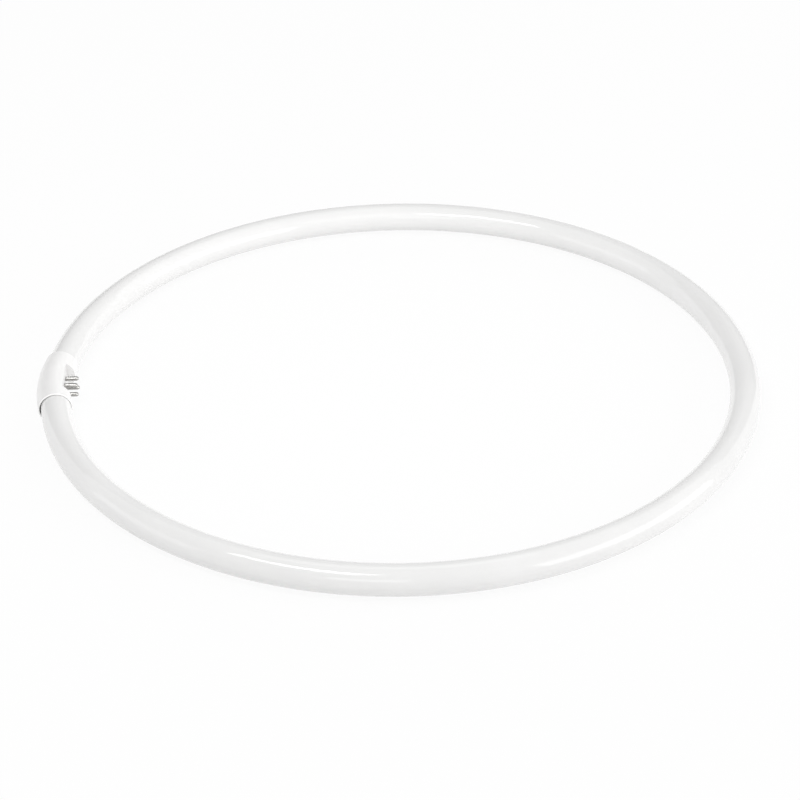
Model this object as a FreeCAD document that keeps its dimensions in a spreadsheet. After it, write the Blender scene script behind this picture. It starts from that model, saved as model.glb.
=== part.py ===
import FreeCAD, Part
import os
import Sketcher

# A circular fluorescent lamp: a glass ring whose two sealed ends meet in a plastic base with four pins.
# Millimetres. The ring's centre is the origin, its axis is Z, the base is at -X and the pins point to +X.

SIZES = (
    ("ring_radius", 181.0, "ring's centre to the middle of the glass tube"),
    ("tube_diameter", 15.9, "outside of the glass tube"),
    ("end_angle", 9.5, "half of the angle that the bend leaves open at the base, degrees"),
    ("end_clearance", 0.3, "glass ends to the pocket's end walls"),
    ("shoulder_round", 3.0, "rounding of the glass at its end faces, as far as the faces leave room"),
    ("end_face_width", 0.3, "least flat left on an end face, round the mouth of its hollow"),
    ("flare_depth", 4.5, "depth of the hollow in the glass end"),
    ("flare_mouth_diameter", 8.0, "hollow in the glass end, at its mouth"),
    ("flare_floor_diameter", 6.8, "hollow in the glass end, at its floor"),
    ("exhaust_diameter", 2.8, "sealed exhaust tip on the glass end"),
    ("exhaust_reach", 2.6, "exhaust tip past the glass end face"),
    ("exhaust_bevel", 0.9, "bevel of the exhaust tip"),
    ("outer_gap", 0.6, "glass to the base's bore, on the side away from the ring's middle"),
    ("inner_gap", 0.1, "glass to the base's bore, on the side of the ring's middle"),
    ("base_wall", 0.7, "thickness of the base's shells"),
    ("base_length", 43.4, "base from rim to rim, along its own axis"),
    ("base_bend_radius", 100.0, "bend of the base's axis"),
    ("rim_bevel", 0.25, "bevel of the base's rims"),
    ("pocket_inset", 4.1, "pocket's floor inwards of the ring's centre line"),
    ("pocket_length", 22.8, "pocket along the base"),
    ("pocket_wall", 1.0, "thickness of the pocket's floor and end walls"),
    ("pin_diameter", 2.3, "contact pins"),
    ("pin_length", 7.1, "pins proud of the pocket's floor"),
    ("pin_pitch_along", 6.8, "pins apart along the tube"),
    ("pin_pitch_across", 5.6, "pins apart across the ring's plane"),
    ("pin_nose_length", 0.9, "tapered nose of the pins"),
    ("pin_nose_diameter", 1.3, "flat end of the nose"),
    ("pin_cup_diameter", 0.9, "cup in the back of the pins that takes the lead"),
    ("pin_cup_depth", 2.3, "depth of that cup"),
    ("pin_flange_diameter", 3.2, "flange behind the pocket's floor"),
    ("pin_flange_thickness", 0.5, "thickness of that flange"),
    ("pin_tail_diameter", 1.6, "tail of the pins, through the pocket's floor"),
    ("pin_clearance", 0.03, "that tail to its hole in the floor, on the radius"),
    ("wire_diameter", 0.6, "lead wires"),
    ("wire_bend_radius", 1.6, "bend of the lead wires"),
    ("cup_clearance", 0.3, "lead wires' ends to the floor of the pins' cups"),
    ("stop_thickness", 1.0, "ribs that the glass ends stop against"),
    ("stop_gap", 0.1, "stop rib to the glass end face"),
    ("stop_opening", 7.2, "opening in the stop ribs"),
    ("post_pitch", 10.8, "closing posts apart across the ring's plane"),
    ("post_diameter", 3.0, "closing posts"),
    ("spigot_diameter", 1.8, "spigot on a closing post"),
    ("spigot_length", 2.0, "length of the spigot"),
    ("boss_diameter", 3.8, "boss that takes a spigot"),
    ("boss_height", 2.5, "height of that boss on the pocket's floor"),
    ("boss_clearance", 0.05, "spigot to its boss, on the radius and at its shoulder"),
)

doc = FreeCAD.newDocument("circular_fluorescent_tube")
sheet = doc.addObject("Spreadsheet::Sheet", "Sizes")
for row, (alias, value, meaning) in enumerate(SIZES, start=1):
    sheet.set(f"A{row}", meaning)
    sheet.set(f"B{row}", str(value))
    sheet.setAlias(f"B{row}", alias)
doc.recompute()

# Places that several pieces share, as expressions of the sheet's sizes
SLOPE = "Sizes.end_angle"
TUBE_RADIUS = "Sizes.tube_diameter / 2"
BORE_RADIUS = f"({TUBE_RADIUS} + (Sizes.outer_gap + Sizes.inner_gap) / 2)"
BASE_RADIUS = f"({BORE_RADIUS} + Sizes.base_wall)"
BASE_SHIFT = "((Sizes.outer_gap - Sizes.inner_gap) / 2)"
CORNER = f"(Sizes.ring_radius / cos({SLOPE}))"
END_WALL = "(Sizes.pocket_length / 2 + Sizes.pocket_wall)"
END_FACE_ROOM = f"({TUBE_RADIUS} - Sizes.flare_mouth_diameter / 2 - Sizes.end_face_width)"
SHOULDER_ROUND = f"min(Sizes.shoulder_round; {END_FACE_ROOM})"
SHOULDER_REACH = (f"(({TUBE_RADIUS} - {SHOULDER_ROUND}) * sin({SLOPE})"
                  f" + {SHOULDER_ROUND} * (1 - cos({SLOPE})))")
SETBACK = f"(({END_WALL} + Sizes.end_clearance + {SHOULDER_REACH}) / cos({SLOPE}))"
STRAIGHT = f"(Sizes.ring_radius * tan({SLOPE}) - {SETBACK})"
BASE_CORNER = f"({CORNER} + {BASE_SHIFT})"
BEND_CENTRE = f"(Sizes.base_bend_radius / cos({SLOPE}) - {BASE_CORNER})"
BASE_STRAIGHT = f"(Sizes.base_length / 2 - Sizes.base_bend_radius * {SLOPE} * pi / 180)"
BASE_OUTSIDE = f"({BEND_CENTRE} - Sizes.base_bend_radius - {BASE_RADIUS})"
FLOOR = "(Sizes.pocket_inset - Sizes.ring_radius)"
FLOOR_BACK = f"({FLOOR} - Sizes.pocket_wall)"
BOSS_FACE = f"({FLOOR_BACK} - Sizes.boss_height)"

OVERCUT = "Sizes.base_wall"                   # how far a cutting shape runs past what it cuts
WELL_PAST = f"(2 * {BASE_RADIUS})"            # a cutting block's reach to each side of what it cuts
PINS = ((1, 1), (1, -1), (-1, 1), (-1, -1))   # side along the tube, side across the ring's plane


def number(expression):
    """What an expression of the sheet's sizes comes to."""
    return float(sheet.evalExpression(expression))


def turn(degrees, lay_down=False):
    """A rotation about Z; lay_down first turns a shape's own Z axis to X."""
    about_z = f"rotation(vector(0; 0; 1); {degrees})"
    return about_z + " * rotation(vector(0; 1; 0); 90)" if lay_down else about_z


def place(thing, x="0", y="0", z="0", rotation=None):
    """Bind a shape's place to expressions."""
    rotation = rotation or turn("0")
    thing.setExpression("Placement", f"placement(vector({x}; {y}; {z}); {rotation})")
    return thing


def primitive(kind, name, **sizes):
    """A Part primitive with its sizes bound to expressions."""
    thing = doc.addObject("Part::" + kind, name)
    for size, expression in sizes.items():
        thing.setExpression(size, expression)
    return thing


def fuse(name, *shapes):
    thing = doc.addObject("Part::MultiFuse", name)
    thing.Shapes = list(shapes)
    thing.Refine = True
    return thing


def common(name, *shapes):
    thing = doc.addObject("Part::MultiCommon", name)
    thing.Shapes = list(shapes)
    return thing


def cut(name, base, tool):
    thing = doc.addObject("Part::Cut", name)
    thing.Base = base
    thing.Tool = tool
    return thing


def mirrored(name, source):
    """The same shape on the other side of the XZ plane."""
    thing = doc.addObject("Part::Mirroring", name)
    thing.Source = source
    thing.Normal = (0, 1, 0)
    return thing


def turned(name, outline, round_corner=None, round_radius=None):
    """A body turned about its own X axis from its (along, radius) corners, one of which may be rounded."""
    body = doc.addObject("PartDesign::Body", name)
    plane = next(f for f in body.Origin.OriginFeatures if f.Role == "XY_Plane")
    sketch = body.newObject("Sketcher::SketchObject", name + "_outline")
    sketch.AttachmentSupport = [(plane, "")]
    sketch.MapMode = "FlatFace"
    corners = [FreeCAD.Vector(number(along), number(radius), 0) for along, radius in outline]
    for start, end in zip(corners, corners[1:] + corners[:1]):
        sketch.addGeometry(Part.LineSegment(start, end), False)
    for line in range(len(corners)):
        sketch.addConstraint(Sketcher.Constraint("Coincident", line, 2, (line + 1) % len(corners), 1))
    for line, spot in enumerate(outline):
        for kind, axis, expression in zip(("DistanceX", "DistanceY"), (-2, -1), spot):
            if expression == "0":
                sketch.addConstraint(Sketcher.Constraint("PointOnObject", line, 1, axis))
                continue
            index = sketch.addConstraint(Sketcher.Constraint(kind, -1, 1, line, 1, number(expression)))
            sketch.renameConstraint(index, f"corner_{line}_{kind}")
            sketch.setExpression(f"Constraints.corner_{line}_{kind}", expression)
    solid = body.newObject("PartDesign::Revolution", name + "_turn")
    solid.Profile = sketch
    solid.ReferenceAxis = (sketch, ["H_Axis"])
    solid.Angle = 360
    doc.recompute()
    if round_corner is not None:
        fillet = body.newObject("PartDesign::Fillet", name + "_round")
        fillet.Base = (solid, [ring_edge(solid.Shape, corners[round_corner])])
        fillet.setExpression("Radius", round_radius)
    return body


def ring_edge(shape, corner):
    """The name of the circle that a corner of the outline makes when it is turned."""
    for index, edge in enumerate(shape.Edges, start=1):
        if isinstance(edge.Curve, Part.Circle):
            offset = edge.Curve.Center - FreeCAD.Vector(corner.x, 0, 0)
            if offset.Length < 1e-4 and abs(edge.Curve.Radius - corner.y) < 1e-4:
                return f"Edge{index}"
    raise ValueError(f"no circle at {corner}")


# Glass tube: the bend, and a straight end with its shoulder, flare and sealed exhaust tip on each side
def glass_tube():
    bend = primitive("Torus", "glass_bend", Radius1="Sizes.ring_radius", Radius2=TUBE_RADIUS,
                     Angle3=f"360 - 2 * {SLOPE}")
    place(bend, rotation=turn(f"{SLOPE} - 180"))
    flare_floor = f"{STRAIGHT} - Sizes.flare_depth"
    tip_radius = "Sizes.exhaust_diameter / 2"
    tip_end = f"{STRAIGHT} + Sizes.exhaust_reach"
    bevel = "Sizes.exhaust_bevel"
    end = turned("glass_end", (
        ("0", "0"),
        ("0", TUBE_RADIUS),
        (STRAIGHT, TUBE_RADIUS),
        (STRAIGHT, "Sizes.flare_mouth_diameter / 2"),
        (flare_floor, "Sizes.flare_floor_diameter / 2"),
        (flare_floor, tip_radius),
        (f"{tip_end} - {bevel}", tip_radius),
        (tip_end, f"{tip_radius} - {bevel}"),
        (tip_end, "0"),
    ), round_corner=2, round_radius=SHOULDER_ROUND)
    place(end, f"-Sizes.ring_radius * cos({SLOPE})", f"Sizes.ring_radius * sin({SLOPE})",
          rotation=turn(f"-90 - {SLOPE}"))
    return fuse("glass_tube", bend, end, mirrored("glass_other_end", end))


# Base: an elbow of two straight shoulders and a wide bend, split along its axis into two shells
def elbow(name, radius, past_rim="0", bevel="0"):
    """A solid along the base's axis, past_rim longer than the base at each end, its rims bevelled."""
    bend = primitive("Torus", name + "_bend", Radius1="Sizes.base_bend_radius", Radius2=radius,
                     Angle3=f"2 * {SLOPE}")
    place(bend, BEND_CENTRE, rotation=turn(f"180 - {SLOPE}"))
    reach = f"{BASE_STRAIGHT} + {past_rim}"
    rim = [(reach, radius)] if bevel == "0" else [(f"{reach} - {bevel}", radius), (reach, f"{radius} - {bevel}")]
    shoulder = turned(name + "_shoulder", [("0", "0"), ("0", radius), *rim, (reach, "0")])
    along_base(shoulder)
    return fuse(name, bend, shoulder, mirrored(name + "_other_shoulder", shoulder))


def along_base(thing, inwards="0", z="0"):
    """Place a shape at the end of the base's bend, its own X axis along the straight shoulder."""
    radius = f"(Sizes.base_bend_radius - ({inwards}))"
    return place(thing, f"{BEND_CENTRE} - {radius} * cos({SLOPE})", f"{radius} * sin({SLOPE})", z,
                 turn(f"90 - {SLOPE}"))


def inner_side():
    """All that lies on the ring's side of the base's axis."""
    height = f"2 * {WELL_PAST}"
    middle = primitive("Cylinder", "parting_middle", Radius="Sizes.base_bend_radius", Height=height,
                       Angle=f"2 * {SLOPE}")
    place(middle, BEND_CENTRE, z=f"-{WELL_PAST}", rotation=turn(f"180 - {SLOPE}"))
    shoulder = primitive("Box", "parting_shoulder", Length=f"{BASE_STRAIGHT} + {OVERCUT}",
                         Width=WELL_PAST, Height=height)
    along_base(shoulder, inwards=WELL_PAST, z=f"-{WELL_PAST}")
    return fuse("parting_block", middle, shoulder, mirrored("parting_other_shoulder", shoulder))


def pocket(name, grown):
    """The pocket's block, open to the top, the bottom and the ring's middle, grown by a wall."""
    length = f"Sizes.pocket_length + 2 * {grown}"
    block = primitive("Box", name, Length=WELL_PAST, Width=length, Height=f"2 * {WELL_PAST}")
    return place(block, f"{FLOOR} - {grown}", f"-({length}) / 2", f"-{WELL_PAST}")


def stop_rib():
    """The rib that a glass end stops against, with an opening for the leads and the exhaust tip."""
    reach = f"({SETBACK} - Sizes.stop_gap - Sizes.stop_thickness)"
    disc = turned("stop_rib", (
        ("0", "Sizes.stop_opening / 2"),
        ("0", BASE_RADIUS),
        ("Sizes.stop_thickness", BASE_RADIUS),
        ("Sizes.stop_thickness", "Sizes.stop_opening / 2"),
    ))
    return place(disc, f"{reach} * sin({SLOPE}) - {CORNER}", f"{reach} * cos({SLOPE})",
                 rotation=turn(f"90 - {SLOPE}"))


def closing_post(number_of_post, level):
    """A stepped post on the outer shell that reaches into a boss on the inner one."""
    shank = f"({BOSS_FACE} - Sizes.boss_clearance - {BASE_OUTSIDE})"
    tip = f"{shank} + Sizes.spigot_length"
    post = turned(f"closing_post_{number_of_post}", (
        ("0", "0"),
        ("0", "Sizes.post_diameter / 2"),
        (shank, "Sizes.post_diameter / 2"),
        (shank, "Sizes.spigot_diameter / 2"),
        (tip, "Sizes.spigot_diameter / 2"),
        (tip, "0"),
    ))
    return place(post, BASE_OUTSIDE, z=f"{level} * Sizes.post_pitch / 2")


def level_cylinder(name, start, length, radius, y="0", z="0"):
    """A cylinder along +X from start."""
    rod = primitive("Cylinder", name, Radius=radius, Height=length)
    return place(rod, start, y, z, turn("0", lay_down=True))


def base_shells():
    outside = elbow("base_outside", BASE_RADIUS, bevel="Sizes.rim_bevel")
    bore = elbow("base_bore", BORE_RADIUS, past_rim=OVERCUT)
    skin = cut("base_skin", outside, bore)
    inner_block = inner_side()
    levels = (1, -1)
    bosses = [level_cylinder(f"boss_{k}", BOSS_FACE, "Sizes.boss_height", "Sizes.boss_diameter / 2",
                             z=f"{level} * Sizes.post_pitch / 2") for k, level in enumerate(levels)]
    sockets = [level_cylinder(f"socket_{k}", BOSS_FACE, "Sizes.boss_height",
                              "Sizes.spigot_diameter / 2 + Sizes.boss_clearance",
                              z=f"{level} * Sizes.post_pitch / 2") for k, level in enumerate(levels)]
    holes = [level_cylinder(f"pin_hole_{k}", f"{FLOOR_BACK} - Sizes.pocket_wall", "3 * Sizes.pocket_wall",
                            "Sizes.pin_tail_diameter / 2 + Sizes.pin_clearance",
                            f"{along} * Sizes.pin_pitch_along / 2", f"{across} * Sizes.pin_pitch_across / 2")
             for k, (along, across) in enumerate(PINS)]
    floor = common("pocket_floor", outside, fuse("floor_and_bosses", pocket("floor_block", "Sizes.pocket_wall"),
                                                 *bosses))
    inner = common("inner_half", fuse("skin_with_floor", skin, floor), inner_block)
    openings = fuse("inner_openings", pocket("pocket_block", "0"), *holes, *sockets)
    inner_shell = cut("base_inner_shell", inner, openings)

    rib = stop_rib()
    ribs = common("stop_ribs", outside, fuse("stop_rib_pair", rib, mirrored("stop_other_rib", rib)))
    outer = cut("outer_half", fuse("skin_with_ribs", skin, ribs), inner_block)
    posts = fuse("closing_posts", *[closing_post(k, level) for k, level in enumerate(levels)])
    outer_shell = fuse("base_outer_shell", outer, common("seated_posts", outside, posts))
    return [inner_shell, outer_shell]


# Contact pins: turned, with a tapered nose, a shoulder on the pocket's floor, a tail through it that is
# spread to a flange behind it, and a cup in the tail for the lead
def contact_pin(name, along, across):
    back = "-Sizes.pocket_wall - Sizes.pin_flange_thickness"
    cup_floor = f"{back} + Sizes.pin_cup_depth"
    pin = turned(name, (
        (back, "Sizes.pin_cup_diameter / 2"),
        (back, "Sizes.pin_flange_diameter / 2"),
        ("-Sizes.pocket_wall", "Sizes.pin_flange_diameter / 2"),
        ("-Sizes.pocket_wall", "Sizes.pin_tail_diameter / 2"),
        ("0", "Sizes.pin_tail_diameter / 2"),
        ("0", "Sizes.pin_diameter / 2"),
        ("Sizes.pin_length - Sizes.pin_nose_length", "Sizes.pin_diameter / 2"),
        ("Sizes.pin_length", "Sizes.pin_nose_diameter / 2"),
        ("Sizes.pin_length", "0"),
        (cup_floor, "0"),
        (cup_floor, "Sizes.pin_cup_diameter / 2"),
    ))
    return place(pin, FLOOR, f"{along} * Sizes.pin_pitch_along / 2", f"{across} * Sizes.pin_pitch_across / 2")


# Lead wires: out of a glass end along its axis, round one bend, and into the back of a pin
def lead_wire(name, side, across):
    level = f"{across} * Sizes.pin_pitch_across / 2"
    radius = "Sizes.wire_diameter / 2"
    tangent = f"(Sizes.wire_bend_radius * tan((90 + {SLOPE}) / 2))"
    to_turn = f"(Sizes.pin_pitch_along / 2 / cos({SLOPE}))"
    turn_x = f"({to_turn} * sin({SLOPE}) - {CORNER})"
    bend_start = f"({to_turn} + {tangent})"
    glass_run = primitive("Cylinder", name + "_glass_run", Radius=radius,
                          Height=f"{SETBACK} + Sizes.flare_depth - {bend_start}")
    place(glass_run, f"{bend_start} * sin({SLOPE}) - {CORNER}", f"{side} * {bend_start} * cos({SLOPE})", level,
          turn(f"{side} * (90 - {SLOPE})", lay_down=True))
    bend = primitive("Torus", name + "_bend", Radius1="Sizes.wire_bend_radius", Radius2=radius,
                     Angle3=f"90 + {SLOPE}")
    place(bend, f"{turn_x} + {tangent}", f"{side} * (Sizes.pin_pitch_along / 2 + Sizes.wire_bend_radius)", level,
          turn(f"180 - {SLOPE}" if side > 0 else "90"))
    pin_end = f"({FLOOR_BACK} - Sizes.pin_flange_thickness + Sizes.pin_cup_depth - Sizes.cup_clearance)"
    pin_run = level_cylinder(name + "_pin_run", f"{turn_x} + {tangent}", f"{pin_end} - {turn_x} - {tangent}",
                             radius, f"{side} * Sizes.pin_pitch_along / 2", level)
    return fuse(name, glass_run, bend, pin_run)


pieces = [glass_tube()] + base_shells()
for count, (along, across) in enumerate(PINS, start=1):
    pieces.append(contact_pin(f"contact_pin_{count}", along, across))
    pieces.append(lead_wire(f"lead_wire_{count}", along, across))
doc.recompute()

for thing in doc.Objects:
    if "Invalid" in thing.State or "Error" in thing.State:
        raise RuntimeError(f"{thing.Name} did not build: {thing.State}")
for piece in pieces:
    if piece.Shape.isNull() or not piece.Shape.isValid():
        raise RuntimeError(f"{piece.Name} has no valid shape")
    if len(piece.Shape.Solids) != 1:
        raise RuntimeError(f"{piece.Name} has {len(piece.Shape.Solids)} solids")

os.makedirs("parts", exist_ok=True)
for piece in pieces:
    piece.Shape.exportStep(f"parts/{piece.Name}.step")
    print(piece.Name, round(piece.Shape.Volume, 2), piece.Shape.BoundBox)
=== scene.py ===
import math

import bmesh
import bpy
from mathutils import Matrix, Vector


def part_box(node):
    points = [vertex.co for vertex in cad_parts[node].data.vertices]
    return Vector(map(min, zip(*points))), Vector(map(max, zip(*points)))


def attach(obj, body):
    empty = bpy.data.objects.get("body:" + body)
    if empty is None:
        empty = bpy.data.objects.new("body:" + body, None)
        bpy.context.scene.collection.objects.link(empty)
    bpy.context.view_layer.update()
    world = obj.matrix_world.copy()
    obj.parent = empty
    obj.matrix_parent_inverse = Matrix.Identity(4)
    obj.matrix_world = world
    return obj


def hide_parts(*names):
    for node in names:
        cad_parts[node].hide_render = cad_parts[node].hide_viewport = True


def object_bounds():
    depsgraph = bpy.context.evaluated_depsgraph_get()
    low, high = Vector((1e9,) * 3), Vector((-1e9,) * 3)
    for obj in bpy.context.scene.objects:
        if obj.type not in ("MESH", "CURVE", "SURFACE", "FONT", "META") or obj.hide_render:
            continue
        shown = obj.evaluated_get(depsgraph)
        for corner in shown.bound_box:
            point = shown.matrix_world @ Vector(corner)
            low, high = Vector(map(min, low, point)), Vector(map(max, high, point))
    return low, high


# A circular fluorescent lamp: a white glass ring, closed by a plastic base with four contact pins.
# Metres, in the frame's axes: the ring's centre is the origin, its axis is Z and the base is at -X.

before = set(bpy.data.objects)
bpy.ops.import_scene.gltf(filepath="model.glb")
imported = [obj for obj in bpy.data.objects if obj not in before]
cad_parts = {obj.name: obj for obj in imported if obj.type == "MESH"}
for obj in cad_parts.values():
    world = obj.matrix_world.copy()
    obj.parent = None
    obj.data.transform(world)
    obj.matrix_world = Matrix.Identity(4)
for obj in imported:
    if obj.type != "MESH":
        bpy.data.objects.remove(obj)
cad_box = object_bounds()

# Glass ring
RING_CENTRE = (0.0, 0.0, 0.0)
RING_RADIUS = 0.181
TUBE_RADIUS = 0.00792                  # a hair under the true 7.95 mm, inside the facets of the CAD mesh
END_ANGLE = math.radians(9.5)          # half of the angle that the bend leaves open at the base
END_LENGTH = 0.01654                   # straight glass past the bend, on each side
SHOULDER_ROUND = 0.003
FLARE_DEPTH = 0.0045
FLARE_MOUTH_RADIUS = 0.004
FLARE_FLOOR_RADIUS = 0.0034
FLARE_ROUND = 0.0006
EXHAUST_RADIUS = 0.0014
EXHAUST_REACH = 0.0026
EXHAUST_TIP_ROUND = 0.0012
EXHAUST_FOOT_ROUND = 0.0004

# Base
RIM_ROUND = 0.00018
RIM_SEGMENTS = 3
PAINTED_RIM_HIGHLIGHT_DEPTH = 0.0005                     # how far from its ends the base carries a painted highlight that makes it paler
EDGE_ANGLE = math.radians(28)          # a sharper turn than this is an edge, and is rounded
FLAT_ANGLE = math.radians(0.4)         # a flatter one is a join inside one face

# Contact pins
PIN_RADIUS = 0.00115
PIN_LENGTH = 0.0071
PIN_NOSE = 0.0009
PIN_NOSE_RADIUS = 0.00065
PIN_NOSE_ROUND = 0.0004
PIN_TAIL_RADIUS = 0.0008
PIN_FLANGE_THICKNESS = 0.0005
PIN_CUP_RADIUS = 0.00045
PIN_CUP_DEPTH = 0.0023
PIN_EDGE_ROUND = 0.00006
PIN_NAMES = ("contact_pin_1", "contact_pin_2", "contact_pin_3", "contact_pin_4")
WIRE_NAMES = ("lead_wire_1", "lead_wire_2", "lead_wire_3", "lead_wire_4")

# Fineness of the turned and swept forms
RING_STEPS = 400
RING_SIDES = 80
PIN_SIDES = 40
ARC_STEPS = 5
WELD = 1e-6

# Camera: the view of the photograph, in pixels of its 800 by 800 frame where it says so
IMAGE_WIDTH = 800
FOCAL_PIXELS = 2446.55
SENSOR_WIDTH = 36.0
VIEW_HEADING = math.radians(1.5)
VIEW_ELEVATION = math.radians(32.065)
VIEW_ROLL = math.radians(-0.917)
VIEW_DISTANCE = 7.15018 * RING_RADIUS
VIEW_OFFSET_PIXELS = (0.379, -23.247)  # how far the ring's centre is right of and below the middle
VIEW_CLIP = (0.01, 100.0)

# Finishes: colours, and how many waves of each noise pattern there are in a metre
NOISE_LOW, NOISE_HIGH = 0.3, 0.7       # the range in which nearly all of a noise lies
POWDER_DARK, POWDER_LIGHT = (0.818, 0.816, 0.812), (0.853, 0.850, 0.845)
POWDER_CLOUD, POWDER_GRAIN = 28.0, 900.0
POWDER_GRAIN_SHARE = 0.25
POWDER_ROUGHNESS = 0.6
GLASS_ROUGHNESS = 0.035
GLASS_IOR = 1.5
DRAW_WAVES = 60.0
PLASTIC_DARK, PLASTIC_LIGHT = (0.864, 0.859, 0.854), (0.884, 0.879, 0.874)
# Painted highlight: the pale colour given to the rims at the base's ends, where light catches them
PAINTED_RIM_HIGHLIGHT = (0.975, 0.970, 0.963, 1.0)
PLASTIC_CLOUD, PLASTIC_GRAIN = 120.0, 2600.0
PLASTIC_SMOOTH, PLASTIC_ROUGH = 0.30, 0.42
PIN_DARK, PIN_LIGHT, PIN_ROUGHNESS = (0.36, 0.355, 0.345), (0.48, 0.475, 0.46), 0.18
WIRE_DARK, WIRE_LIGHT, WIRE_ROUGHNESS = (0.46, 0.42, 0.38), (0.60, 0.56, 0.51), 0.34
TARNISH = 700.0
TURNED_GRAIN = (9000.0, 120.0, 120.0)
DRAWN_GRAIN = (500.0, 500.0, 500.0)

# Light, in radiances where 1 is white
SKY_LIGHT = 0.545
FLOOR_SIZE = 16.0
FLOOR_ALBEDO = 0.90
FLOOR_GLOW = 0.92                      # share of plain white in what is seen of the floor
WHITE = (1.0, 1.0, 1.0, 1.0)
LAMPS = (                              # name, place, width, height, radiance, the point that it faces
    ("overhead_left", (-0.43, -0.45, 1.09), 0.70, 0.24, 7.0, RING_CENTRE),
    ("wide_right", (1.76, -0.72, 0.58), 2.3, 0.95, 2.5, RING_CENTRE),
    ("front", (-0.35, -1.68, 0.78), 0.70, 0.32, 2.1, RING_CENTRE),
    ("inside_ring", (-0.01, -0.06, 0.24), 0.24, 0.16, 0.8, (0.0, 0.18, 0.0)),
    ("left", (-1.95, -0.30, 0.60), 1.4, 0.8, 1.0, RING_CENTRE),
    ("behind", (0.35, 1.86, 0.58), 1.2, 0.9, 2.5, RING_CENTRE),
    ("low_overhead", (0.30, 0.15, 0.55), 0.70, 0.60, 0.25, RING_CENTRE),
)
SHADE_PLACE = (0.0, 1.5, 0.75)
SHADE_WIDTH, SHADE_HEIGHT = 3.6, 1.5
SHADE_TONE = 0.12


def link_object(name, data):
    """A new object at the origin, in the scene."""
    made = bpy.data.objects.new(name, data)
    bpy.context.scene.collection.objects.link(made)
    return made


def add(tree, kind, *values, **settings):
    """A node. The values fill its inputs in order: a socket is linked, None is passed over."""
    made = tree.nodes.new(kind)
    for name, setting in settings.items():
        setattr(made, name, setting)
    for socket, value in zip(made.inputs, values):
        if isinstance(value, bpy.types.NodeSocket):
            tree.links.new(value, socket)
        elif value is not None:
            socket.default_value = value
    return made


def sums(tree, operation, *values):
    """The result of a Math node."""
    return add(tree, "ShaderNodeMath", *values, operation=operation).outputs[0]


# Materials

def new_material(name):
    """A material, its tree, its one Principled shader, and Object coordinates."""
    material = bpy.data.materials.new(name)
    material.use_nodes = True
    tree = material.node_tree
    shader = next(n for n in tree.nodes if n.type == "BSDF_PRINCIPLED")
    place = add(tree, "ShaderNodeTexCoord").outputs["Object"]
    return material, tree, shader, place


def noise(tree, place, scale, detail=2.0, roughness=0.5, stretch=None):
    """Noise on Object coordinates, from 0 to 1, which may be stretched along an axis."""
    if stretch is not None:
        place = add(tree, "ShaderNodeMapping", place, None, None, stretch).outputs[0]
    made = add(tree, "ShaderNodeTexNoise")
    tree.links.new(place, made.inputs["Vector"])
    made.inputs["Scale"].default_value = scale
    made.inputs["Detail"].default_value = detail
    made.inputs["Roughness"].default_value = roughness
    return made.outputs[0]


def spread(tree, value, low, high, start=NOISE_LOW, end=NOISE_HIGH):
    """A value that runs from start to end is spread from low to high."""
    return add(tree, "ShaderNodeMapRange", value, start, end, low, high).outputs[0]


def shades(tree, value, dark, light):
    """A colour that goes from dark to light over the range in which a noise lies."""
    ramp = add(tree, "ShaderNodeValToRGB", value)
    for stop, where, colour in zip(ramp.color_ramp.elements, (NOISE_LOW, NOISE_HIGH), (dark, light)):
        stop.position = where
        stop.color = (*colour, 1.0)
    return ramp.outputs[0]


def bump(tree, shader, height, strength, distance):
    """Fine relief in the shader's normal, by a height."""
    made = add(tree, "ShaderNodeBump")
    made.inputs["Strength"].default_value = strength
    made.inputs["Distance"].default_value = distance
    tree.links.new(height, made.inputs["Height"])
    tree.links.new(made.outputs[0], shader.inputs["Normal"])


def coated_glass():
    """White phosphor powder, seen through the clear glass wall that it lines."""
    material, tree, shader, place = new_material("coated_glass")
    cloud = noise(tree, place, POWDER_CLOUD, detail=3.0)
    grain = noise(tree, place, POWDER_GRAIN, detail=2.0, roughness=0.7)
    powder = sums(tree, "ADD", sums(tree, "MULTIPLY", cloud, 1.0 - POWDER_GRAIN_SHARE),
                  sums(tree, "MULTIPLY", grain, POWDER_GRAIN_SHARE))
    tree.links.new(shades(tree, powder, POWDER_DARK, POWDER_LIGHT), shader.inputs["Base Color"])
    shader.inputs["Roughness"].default_value = POWDER_ROUGHNESS
    shader.inputs["Specular IOR Level"].default_value = 0.1
    shader.inputs["Coat Weight"].default_value = 1.0
    shader.inputs["Coat Roughness"].default_value = GLASS_ROUGHNESS
    shader.inputs["Coat IOR"].default_value = GLASS_IOR
    waves = noise(tree, place, DRAW_WAVES, detail=1.0)
    bump(tree, shader, waves, strength=0.06, distance=0.0004)
    return material


def painted_rim_highlight_mask(tree, place):
    """1 on the rims at the base's two ends, where a highlight is painted, and 0 elsewhere."""
    across, along = math.sin(END_ANGLE), math.cos(END_ANGLE)
    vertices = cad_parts["base_outer_shell"].data.vertices
    reach = max(v.co.x * across + abs(v.co.y) * along for v in vertices)
    x, y, _ = add(tree, "ShaderNodeSeparateXYZ", place).outputs
    out = sums(tree, "ADD", sums(tree, "MULTIPLY", x, across),
               sums(tree, "MULTIPLY", sums(tree, "ABSOLUTE", y), along))
    return spread(tree, out, 0.0, 1.0, reach - PAINTED_RIM_HIGHLIGHT_DEPTH, reach - PAINTED_RIM_HIGHLIGHT_DEPTH / 2)


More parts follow.
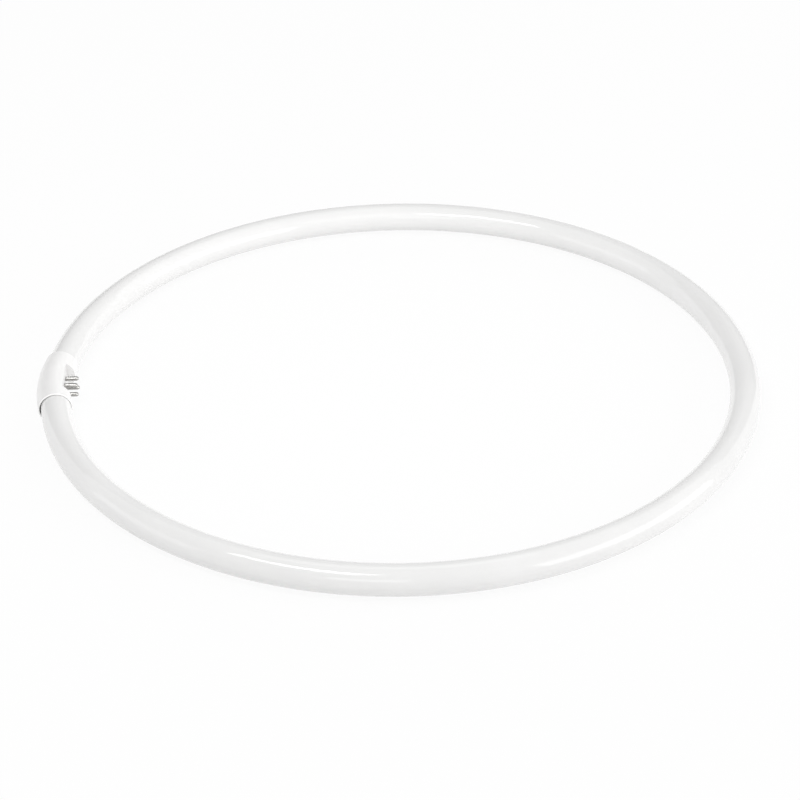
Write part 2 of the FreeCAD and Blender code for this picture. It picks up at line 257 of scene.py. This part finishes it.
def base_plastic():
    """Moulded white plastic with a fine, half-gloss surface, and a painted highlight that makes its rims
    paler.
    """
    material, tree, shader, place = new_material("base_plastic")
    cloud = noise(tree, place, PLASTIC_CLOUD, detail=3.0)
    # The noise plus the rim mask: the mask's share is a painted highlight on the rims
    tone = sums(tree, "ADD", cloud, painted_rim_highlight_mask(tree, place))
    colour = shades(tree, tone, PLASTIC_DARK, PLASTIC_LIGHT)
    # The last stop paints the rims paler, a painted highlight
    colour.node.color_ramp.elements.new(1.0).color = PAINTED_RIM_HIGHLIGHT
    tree.links.new(colour, shader.inputs["Base Color"])
    grain = noise(tree, place, PLASTIC_GRAIN, detail=2.0, roughness=0.6)
    tree.links.new(spread(tree, grain, PLASTIC_SMOOTH, PLASTIC_ROUGH), shader.inputs["Roughness"])
    bump(tree, shader, grain, strength=0.12, distance=0.00003)
    return material


def plated_metal(name, dark, light, rough, turned):
    """Plated metal, with the fine rings that turning leaves across its X axis, or drawn smooth."""
    material, tree, shader, place = new_material(name)
    tarnish = noise(tree, place, TARNISH, detail=3.0)
    tree.links.new(shades(tree, tarnish, dark, light), shader.inputs["Base Color"])
    shader.inputs["Metallic"].default_value = 1.0
    grain = noise(tree, place, 1.0, detail=2.0, stretch=TURNED_GRAIN if turned else DRAWN_GRAIN)
    tree.links.new(spread(tree, grain, rough - 0.05, rough + 0.07), shader.inputs["Roughness"])
    bump(tree, shader, grain, strength=0.25 if turned else 0.08, distance=0.00002)
    return material


glass_finish = coated_glass()
plastic_finish = base_plastic()
pin_finish = plated_metal("nickel_pin", PIN_DARK, PIN_LIGHT, PIN_ROUGHNESS, turned=True)
wire_finish = plated_metal("lead_wire_metal", WIRE_DARK, WIRE_LIGHT, WIRE_ROUGHNESS, turned=False)


# Turned and swept forms

def rounded(corners):
    """The (along, radius) points of an outline whose (along, radius, round) corners become arcs."""
    points = []
    for index, (along, radius, size) in enumerate(corners):
        here = Vector((along, radius))
        if size == 0:
            points.append(here)
            continue
        back = (Vector(corners[index - 1][:2]) - here).normalized()
        ahead = (Vector(corners[index + 1][:2]) - here).normalized()
        half = back.angle(ahead) / 2
        centre = here + (back + ahead).normalized() * size / math.sin(half)
        first = here + back * size / math.tan(half) - centre
        last = here + ahead * size / math.tan(half) - centre
        sweep = first.angle_signed(last)
        for step in range(ARC_STEPS + 1):
            points.append(centre + Matrix.Rotation(-sweep * step / ARC_STEPS, 2) @ first)
    return points


def sweep_tree():
    """A tree that turns an outline of (along, radius) points round an axis with one bend in it."""
    tree = bpy.data.node_groups.new("sweep_round_axis", "GeometryNodeTree")
    tree.interface.new_socket("Geometry", in_out="OUTPUT", socket_type="NodeSocketGeometry")
    tree.interface.new_socket("Outline", in_out="INPUT", socket_type="NodeSocketGeometry")
    for name, kind in (("Sides", "Int"), ("Bend Radius", "Float"), ("Half Angle", "Float"),
                       ("Facing", "Float"), ("Centre", "Vector"), ("Finish", "Material")):
        tree.interface.new_socket(name, in_out="INPUT", socket_type="NodeSocket" + kind)
    given = add(tree, "NodeGroupInput").outputs
    sides, bend, half = given["Sides"], given["Bend Radius"], given["Half Angle"]

    count = add(tree, "GeometryNodeAttributeDomainSize", given["Outline"]).outputs["Point Count"]
    grid = add(tree, "GeometryNodeMeshGrid", 1.0, 1.0, sums(tree, "ADD", sides, 1.0), count).outputs["Mesh"]
    index = add(tree, "GeometryNodeInputIndex").outputs[0]
    row = sums(tree, "FLOOR", sums(tree, "DIVIDE", sums(tree, "ADD", index, 0.5), count))
    column = sums(tree, "SUBTRACT", index, sums(tree, "MULTIPLY", row, count))
    spot = add(tree, "GeometryNodeSampleIndex", data_type="FLOAT_VECTOR", domain="POINT")
    tree.links.new(given["Outline"], spot.inputs["Geometry"])
    tree.links.new(add(tree, "GeometryNodeInputPosition").outputs[0], spot.inputs["Value"])
    tree.links.new(column, spot.inputs["Index"])
    along, radius, _ = add(tree, "ShaderNodeSeparateXYZ", spot.outputs[0]).outputs

    least = sums(tree, "MULTIPLY", half, -1.0)
    angle = add(tree, "ShaderNodeClamp", sums(tree, "DIVIDE", along, bend), least, half).outputs[0]
    past = sums(tree, "SUBTRACT", along, sums(tree, "MULTIPLY", angle, bend))
    heading = sums(tree, "ADD", angle, given["Facing"])
    cosine, sine = sums(tree, "COSINE", heading), sums(tree, "SINE", heading)
    turn = sums(tree, "MULTIPLY", sums(tree, "DIVIDE", row, sides), -2 * math.pi)
    outwards = sums(tree, "ADD", bend, sums(tree, "MULTIPLY", radius, sums(tree, "COSINE", turn)))
    x = sums(tree, "SUBTRACT", sums(tree, "MULTIPLY", outwards, cosine), sums(tree, "MULTIPLY", past, sine))
    y = sums(tree, "ADD", sums(tree, "MULTIPLY", outwards, sine), sums(tree, "MULTIPLY", past, cosine))
    z = sums(tree, "MULTIPLY", radius, sums(tree, "SINE", turn))
    about_centre = add(tree, "ShaderNodeCombineXYZ", x, y, z).outputs[0]
    position = add(tree, "ShaderNodeVectorMath", about_centre, given["Centre"], operation="ADD").outputs[0]

    placed = add(tree, "GeometryNodeSetPosition", grid)
    tree.links.new(position, placed.inputs["Position"])
    welded = add(tree, "GeometryNodeMergeByDistance", placed.outputs[0])
    welded.inputs["Distance"].default_value = WELD
    smooth = add(tree, "GeometryNodeSetShadeSmooth", welded.outputs[0]).outputs[0]
    real = add(tree, "GeometryNodeRealizeInstances", smooth).outputs[0]
    finished = add(tree, "GeometryNodeSetMaterial", real)
    tree.links.new(given["Finish"], finished.inputs["Material"])
    add(tree, "NodeGroupOutput", finished.outputs[0])
    return tree


def swept(name, tree, outline, inputs):
    """A plain mesh piece that the sweep tree makes from an outline."""
    mesh = bpy.data.meshes.new(name + "_outline")
    mesh.from_pydata([(p.x, p.y, 0.0) for p in outline], [(i, i + 1) for i in range(len(outline) - 1)], [])
    piece = link_object(name, mesh)
    maker = piece.modifiers.new("sweep", "NODES")
    maker.node_group = tree
    for item in tree.interface.items_tree:
        if item.in_out == "INPUT" and item.name in inputs:
            maker[item.identifier] = inputs[item.name]
    evaluated = piece.evaluated_get(bpy.context.evaluated_depsgraph_get())
    finished = bpy.data.meshes.new_from_object(evaluated)
    piece.modifiers.remove(maker)
    piece.data = finished
    finished.name = name
    return piece


def glass_outline():
    """From the sealed exhaust tip at one end, over the shoulder and all round the ring to the other."""
    bend_end = RING_RADIUS * (math.pi - END_ANGLE)
    face = bend_end + END_LENGTH
    floor = face - FLARE_DEPTH
    tip = face + EXHAUST_REACH
    end = rounded((
        (tip, 0.0, 0.0),
        (tip, EXHAUST_RADIUS, EXHAUST_TIP_ROUND),
        (floor, EXHAUST_RADIUS, EXHAUST_FOOT_ROUND),
        (floor, FLARE_FLOOR_RADIUS, FLARE_ROUND),
        (face, FLARE_MOUTH_RADIUS, FLARE_ROUND),
        (face, TUBE_RADIUS, SHOULDER_ROUND),
        (face - 2 * SHOULDER_ROUND, TUBE_RADIUS, 0.0),
    ))
    ring = [Vector((bend_end * (1 - 2 * step / RING_STEPS), TUBE_RADIUS)) for step in range(RING_STEPS + 1)]
    return end + ring + [Vector((-p.x, p.y)) for p in reversed(end)]


def pin_outline(back, tip):
    """From the tip's middle, along the shank, tail and flange to the floor of the cup in the back."""
    shoulder = tip - PIN_LENGTH
    flange = back + PIN_FLANGE_THICKNESS
    flange_radius = (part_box(PIN_NAMES[0])[1].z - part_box(PIN_NAMES[0])[0].z) / 2
    return rounded((
        (tip, 0.0, 0.0),
        (tip, PIN_NOSE_RADIUS, PIN_NOSE_ROUND),
        (tip - PIN_NOSE, PIN_RADIUS, PIN_NOSE_ROUND),
        (shoulder, PIN_RADIUS, PIN_EDGE_ROUND),
        (shoulder, PIN_TAIL_RADIUS, 0.0),
        (flange, PIN_TAIL_RADIUS, 0.0),
        (flange, flange_radius, PIN_EDGE_ROUND),
        (back, flange_radius, PIN_EDGE_ROUND),
        (back, PIN_CUP_RADIUS, 0.0),
        (back + PIN_CUP_DEPTH, PIN_CUP_RADIUS, 0.0),
        (back + PIN_CUP_DEPTH, 0.0, 0.0),
    ))


def finished_copy(node, finish):
    """A copy of a moulded CAD piece with its edges rounded and its surface smooth."""
    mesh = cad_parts[node].data.copy()
    shape = bmesh.new()
    shape.from_mesh(mesh)
    bmesh.ops.remove_doubles(shape, verts=shape.verts, dist=WELD)
    bmesh.ops.dissolve_limit(shape, angle_limit=FLAT_ANGLE, verts=shape.verts, edges=shape.edges)
    shape.to_mesh(mesh)
    shape.free()
    mesh.materials.clear()
    mesh.materials.append(finish)
    mesh.shade_smooth()
    piece = link_object("moulded_" + node, mesh)
    edges = piece.modifiers.new("rounded edges", "BEVEL")
    edges.limit_method = "ANGLE"
    edges.angle_limit = EDGE_ANGLE
    edges.width = RIM_ROUND
    edges.segments = RIM_SEGMENTS
    edges.use_clamp_overlap = True
    flats = piece.modifiers.new("flat faces stay flat", "WEIGHTED_NORMAL")
    flats.keep_sharp = True
    evaluated = piece.evaluated_get(bpy.context.evaluated_depsgraph_get())
    piece_mesh = bpy.data.meshes.new_from_object(evaluated)
    piece.modifiers.clear()
    piece.data = piece_mesh
    return piece


def settle(piece, node):
    """The piece rides with the lamp and stands in for its CAD node, which is hidden."""
    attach(piece, "root")
    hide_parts(node)


sweep = sweep_tree()
tube = swept("white_glass_ring", sweep, glass_outline(), {
    "Sides": RING_SIDES, "Bend Radius": RING_RADIUS, "Half Angle": math.pi - END_ANGLE,
    "Facing": 0.0, "Centre": RING_CENTRE, "Finish": glass_finish})
settle(tube, "glass_tube")

for node in ("base_inner_shell", "base_outer_shell"):
    settle(finished_copy(node, plastic_finish), node)

for node in PIN_NAMES:
    low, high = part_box(node)
    middle = (low + high) / 2
    pin = swept("turned_" + node, sweep, pin_outline(low.x, high.x), {
        "Sides": PIN_SIDES, "Bend Radius": 0.0, "Half Angle": 0.0, "Facing": -math.pi / 2,
        "Centre": (0.0, middle.y, middle.z), "Finish": pin_finish})
    settle(pin, node)

for node in WIRE_NAMES:
    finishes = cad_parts[node].data.materials
    finishes.clear()
    finishes.append(wire_finish)


# Stage: a plain white floor, a pale sky, soft lamps and a dark card that only gloss shows

def seen_directly(tree):
    """1 for what the camera sees, straight on or in gloss or glass, and 0 for other light."""
    path = add(tree, "ShaderNodeLightPath").outputs
    seen = sums(tree, "MAXIMUM", path["Is Camera Ray"], path["Is Glossy Ray"])
    return sums(tree, "MAXIMUM", seen, path["Is Transmission Ray"])


def emptied_tree(owner):
    """The node tree of a material or a world, with nothing in it."""
    owner.use_nodes = True
    owner.node_tree.nodes.clear()
    return owner.node_tree


def floor_stage():
    """White paper under the lamp, which looks nearly plain white and keeps a faint shadow."""
    low = cad_box[0].z
    half = FLOOR_SIZE / 2
    mesh = bpy.data.meshes.new("floor")
    mesh.from_pydata([(-half, -half, low), (half, -half, low), (half, half, low), (-half, half, low)],
                     [], [(0, 1, 2, 3)])
    floor = link_object("floor", mesh)
    material = bpy.data.materials.new("white_floor")
    tree = emptied_tree(material)
    paper = add(tree, "ShaderNodeBsdfDiffuse", (FLOOR_ALBEDO, FLOOR_ALBEDO, FLOOR_ALBEDO, 1.0)).outputs[0]
    white = add(tree, "ShaderNodeEmission", WHITE, 1.0).outputs[0]
    share = sums(tree, "MULTIPLY", seen_directly(tree), FLOOR_GLOW)
    mixed = add(tree, "ShaderNodeMixShader", share, paper, white).outputs[0]
    add(tree, "ShaderNodeOutputMaterial", mixed)
    mesh.materials.append(material)


def sky():
    """Pale light from all round, which is plain white where it is seen."""
    world = bpy.data.worlds.new("pale_sky")
    tree = emptied_tree(world)
    light = add(tree, "ShaderNodeBackground", WHITE, SKY_LIGHT).outputs[0]
    white = add(tree, "ShaderNodeBackground", WHITE, 1.0).outputs[0]
    mixed = add(tree, "ShaderNodeMixShader", seen_directly(tree), light, white).outputs[0]
    add(tree, "ShaderNodeOutputWorld", mixed)
    bpy.context.scene.world = world


def softbox(name, place, width, height, radiance, aim):
    """A rectangular lamp that faces a point."""
    lamp = bpy.data.lights.new(name, "AREA")
    lamp.shape = "RECTANGLE"
    lamp.size = width
    lamp.size_y = height
    lamp.energy = radiance * math.pi * width * height
    thing = link_object(name, lamp)
    thing.location = place
    thing.rotation_mode = "QUATERNION"
    thing.rotation_quaternion = (Vector(aim) - Vector(place)).to_track_quat("-Z", "Y")
    thing.visible_camera = False


def shade_card(name, place, width, height, tone):
    """A dark card that is seen only in gloss, and gives the metal and the glass their dark edges."""
    half_width, half_height = width / 2, height / 2
    turn = (Vector(RING_CENTRE) - Vector(place)).to_track_quat("Z", "Y").to_matrix()
    corners = [turn @ Vector((x, y, 0.0)) + Vector(place)
               for x, y in ((-half_width, -half_height), (half_width, -half_height),
                            (half_width, half_height), (-half_width, half_height))]
    mesh = bpy.data.meshes.new(name)
    mesh.from_pydata(corners, [], [(0, 1, 2, 3)])
    card = link_object(name, mesh)
    material = bpy.data.materials.new(name)
    tree = emptied_tree(material)
    dark = add(tree, "ShaderNodeEmission", (tone, tone, tone, 1.0), 1.0).outputs[0]
    add(tree, "ShaderNodeOutputMaterial", dark)
    mesh.materials.append(material)
    card.visible_camera = False
    card.visible_diffuse = False
    card.visible_shadow = False
    card.visible_transmission = False


floor_stage()
sky()
for lamp_values in LAMPS:
    softbox(*lamp_values)
shade_card("shade_behind", SHADE_PLACE, SHADE_WIDTH, SHADE_HEIGHT, SHADE_TONE)


# Camera

def camera():
    """The photograph's camera, placed so that the ring's centre falls where it does there."""
    data = bpy.data.cameras.new("camera")
    data.sensor_fit = "HORIZONTAL"
    data.sensor_width = SENSOR_WIDTH
    data.lens = FOCAL_PIXELS * SENSOR_WIDTH / IMAGE_WIDTH
    data.clip_start, data.clip_end = VIEW_CLIP
    level = math.cos(VIEW_ELEVATION)
    forward = Vector((math.sin(VIEW_HEADING) * level, math.cos(VIEW_HEADING) * level,
                      -math.sin(VIEW_ELEVATION)))
    level_right = Vector((math.cos(VIEW_HEADING), -math.sin(VIEW_HEADING), 0.0))
    level_up = level_right.cross(forward)
    right = level_right * math.cos(VIEW_ROLL) + level_up * math.sin(VIEW_ROLL)
    up = level_up * math.cos(VIEW_ROLL) - level_right * math.sin(VIEW_ROLL)
    across, down = VIEW_OFFSET_PIXELS
    metres_a_pixel = VIEW_DISTANCE / FOCAL_PIXELS
    place = -forward * VIEW_DISTANCE - (right * across - up * down) * metres_a_pixel
    thing = link_object("camera", data)
    thing.matrix_world = Matrix.Translation(place) @ Matrix((right, up, -forward)).transposed().to_4x4()
    bpy.context.scene.camera = thing


camera()
bpy.context.scene.view_settings.view_transform = "Standard"
